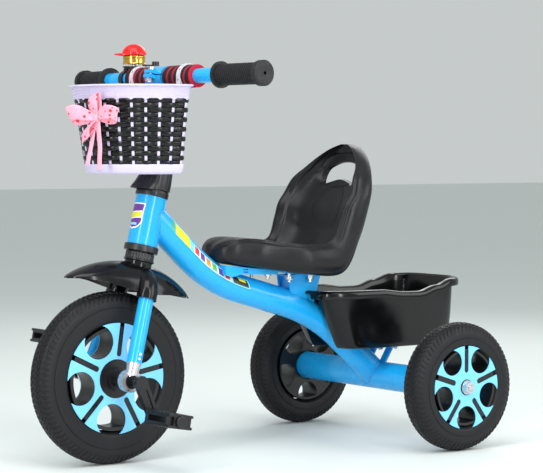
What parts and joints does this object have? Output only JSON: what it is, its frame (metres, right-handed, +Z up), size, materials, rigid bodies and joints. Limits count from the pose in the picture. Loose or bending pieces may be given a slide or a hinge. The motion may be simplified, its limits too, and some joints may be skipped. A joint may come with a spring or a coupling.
{
  "type": "children tricycle",
  "caption": "Pedal-driven children's tricycle with steered front wheel, moulded seat with hand hole, woven handlebar basket with bow, bell, mudguard and rear storage bucket.",
  "frame": {"origin": "centre of the footprint on the ground, midway along the length and between the handlebar ends", "axes": "+Z up, -Y forward (front wheel), +X to the rider's left; the steering is straight ahead at rest"},
  "size_m": [0.499, 0.7669, 0.6308],
  "materials": {
    "blue_paint": "gloss",
    "light_blue_plastic": "satin",
    "black_plastic": "satin",
    "black_mould": "satin",
    "tyre_foam": "matte",
    "steel": "brushed",
    "cast_silver": "cast",
    "grip_rubber": "matte",
    "foam_red_black": "matte",
    "lilac_plastic": "satin",
    "black_strip": "satin",
    "white_strap": "satin",
    "pink_ribbon": "satin",
    "brass": "polished",
    "red_plastic": "gloss",
    "dark_steel": "satin"
  },
  "bodies": {
    "chassis": {"main_tube": "blue_paint", "head_tube": "blue_paint", "rear_axle_tube": "blue_paint", "headset_lower_cup": "black_plastic", "headset_upper_cup": "black_plastic", "rear_axle_plugs": "black_plastic", "rear_axle_rod": "steel", "rear_washers": "steel", "rear_axle_nuts": "steel", "seat_gusset": "blue_paint", "seat": "black_mould", "seat_bracket": "blue_paint", "seat_bolts": "steel", "bracket_bolt": "steel", "bucket_struts": "blue_paint", "bucket_bracket": "blue_paint", "bucket": "black_plastic", "bucket_screws": "steel"},
    "steering": {"fork": "blue_paint", "steerer_tube": "steel", "fork_ends": "cast_silver", "fork_bushes": "black_plastic", "fork_end_rivets": "steel", "mudguard": "black_mould", "fork_dust_cover": "black_plastic", "headset_nut": "steel", "stem_cover": "black_plastic", "handlebar_stem": "blue_paint", "stem_clamp_bolt": "steel", "stem_wedge": "steel", "handlebar": "blue_paint", "grip_left": "grip_rubber", "grip_right": "grip_rubber", "foam_sleeve_left": "foam_red_black", "foam_sleeve_right": "foam_red_black", "basket_straps": "white_strap", "basket_frame": "lilac_plastic", "basket_weave": "black_strip", "ribbon_bow": "pink_ribbon", "bell_base": "black_plastic", "bell_dome": "brass", "bell_cap": "red_plastic", "bell_post": "steel"},
    "bell_lever": {"bell_lever": "black_plastic"},
    "front_wheel": {"front_tyre": "tyre_foam", "front_hub": "black_plastic", "front_face_left": "light_blue_plastic", "front_face_right": "light_blue_plastic", "crank_axle": "dark_steel", "spindle_caps": "black_plastic"},
    "left_pedal": {"pedal_left": "black_plastic"},
    "right_pedal": {"pedal_right": "black_plastic"},
    "rear_wheel_left": {"rear_tyre_left": "tyre_foam", "rear_hub_left": "black_plastic", "rear_face_left": "light_blue_plastic", "rear_bush_left": "black_plastic"},
    "rear_wheel_right": {"rear_tyre_right": "tyre_foam", "rear_hub_right": "black_plastic", "rear_face_right": "light_blue_plastic", "rear_bush_right": "black_plastic"}
  },
  "joints": [
    {"name": "steering_turn", "type": "hinge", "parent": "chassis", "child": "steering", "pos_m": [0, -0.18759, 0.36227], "axis": [0, 0.2351, 0.972], "range_deg": [-35, 35]},
    {"name": "bell_lever_press", "type": "hinge", "parent": "steering", "child": "bell_lever", "pos_m": [-0.079, -0.1393, 0.59476], "axis": [0, 0, 1], "range_deg": [-20, 0], "stiffness_Nm_per_rad": 0.02},
    {"name": "front_wheel_spin", "type": "hinge", "parent": "steering", "child": "front_wheel", "pos_m": [0, -0.25512, 0.129], "axis": [1, 0, 0], "continuous": true},
    {"name": "left_pedal_spin", "type": "hinge", "parent": "front_wheel", "child": "left_pedal", "pos_m": [0.13, -0.23407, 0.07819], "axis": [1, 0, 0], "continuous": true},
    {"name": "right_pedal_spin", "type": "hinge", "parent": "front_wheel", "child": "right_pedal", "pos_m": [-0.13, -0.27617, 0.17981], "axis": [1, 0, 0], "continuous": true},
    {"name": "rear_left_spin", "type": "hinge", "parent": "chassis", "child": "rear_wheel_left", "pos_m": [0.203, 0.25488, 0.1], "axis": [1, 0, 0], "continuous": true},
    {"name": "rear_right_spin", "type": "hinge", "parent": "chassis", "child": "rear_wheel_right", "pos_m": [-0.203, 0.25488, 0.1], "axis": [1, 0, 0], "continuous": true}
  ]
}
